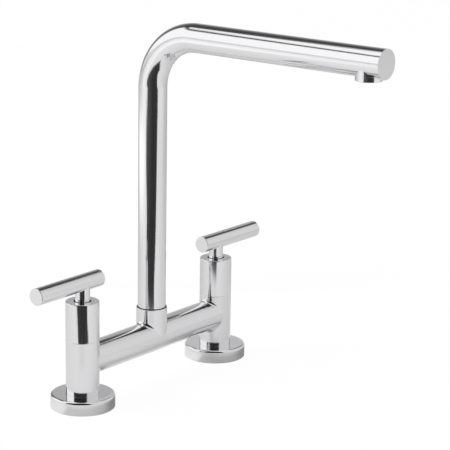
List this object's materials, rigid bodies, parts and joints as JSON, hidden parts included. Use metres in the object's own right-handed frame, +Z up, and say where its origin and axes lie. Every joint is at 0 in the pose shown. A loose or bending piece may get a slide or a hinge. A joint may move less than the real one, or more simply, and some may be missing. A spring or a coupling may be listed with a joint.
{
  "type": "bridge kitchen faucet",
  "caption": "Deck-mounted bridge mixer tap in polished chrome: two valve pillars with T-bar handles, a bridge and a tall square-necked swivel spout.",
  "frame": {"origin": "on the deck, midway between the axes of the two pillars", "axes": "+Z up; +X along the bridge to the cold pillar; the spout points along -Y"},
  "size_m": [0.292, 0.2626, 0.3814],
  "materials": {
    "chrome": "mirror-polished chrome plate on brass",
    "brass": "turned, unplated",
    "steel": "plain stainless",
    "black_rubber": "matt",
    "black_nylon": "satin moulded nylon",
    "grey_plastic": "satin moulded plastic",
    "ceramic": "lapped alumina"
  },
  "bodies": {
    "mixer_body": {"bridge_body": "chrome", "spout_bush": "black_nylon", "spout_set_screw": "steel", "hot_sleeve": "chrome", "hot_flange": "chrome", "hot_flange_gasket": "black_rubber", "hot_inlet_tail": "brass", "hot_clamp_gasket": "black_rubber", "hot_clamp_washer": "steel", "hot_backnut": "brass", "hot_cartridge_body": "brass", "hot_cartridge_washer": "black_rubber", "hot_seat_seal": "black_rubber", "hot_fixed_disc": "ceramic", "cold_sleeve": "chrome", "cold_flange": "chrome", "cold_flange_gasket": "black_rubber", "cold_inlet_tail": "brass", "cold_clamp_gasket": "black_rubber", "cold_clamp_washer": "steel", "cold_backnut": "brass", "cold_cartridge_body": "brass", "cold_cartridge_washer": "black_rubber", "cold_seat_seal": "black_rubber", "cold_fixed_disc": "ceramic"},
    "spout": {"spout_tube": "chrome", "spout_tail": "brass", "spout_tail_orings": "black_rubber", "spout_end_cap": "chrome", "outlet_socket": "chrome", "aerator_housing": "chrome", "aerator_insert": "grey_plastic", "aerator_washer": "black_rubber"},
    "hot_handle": {"hot_handle_neck": "chrome", "hot_handle_bar": "chrome", "hot_grub_screw": "steel", "hot_spindle": "brass", "hot_spindle_oring": "black_rubber", "hot_circlip": "steel", "hot_moving_disc": "ceramic"},
    "cold_handle": {"cold_handle_neck": "chrome", "cold_handle_bar": "chrome", "cold_grub_screw": "steel", "cold_spindle": "brass", "cold_spindle_oring": "black_rubber", "cold_circlip": "steel", "cold_moving_disc": "ceramic"}
  },
  "joints": [
    {"name": "spout_swivel", "type": "hinge", "parent": "mixer_body", "child": "spout", "pos_m": [0, 0, 0.0676], "axis": [0, 0, 1], "continuous": true},
    {"name": "hot_handle_turn", "type": "hinge", "parent": "mixer_body", "child": "hot_handle", "pos_m": [-0.09, 0, 0.0928], "axis": [0, 0, 1], "range_deg": [0, 90]},
    {"name": "cold_handle_turn", "type": "hinge", "parent": "mixer_body", "child": "cold_handle", "pos_m": [0.09, 0, 0.0928], "axis": [0, 0, 1], "range_deg": [-90, 0]}
  ]
}
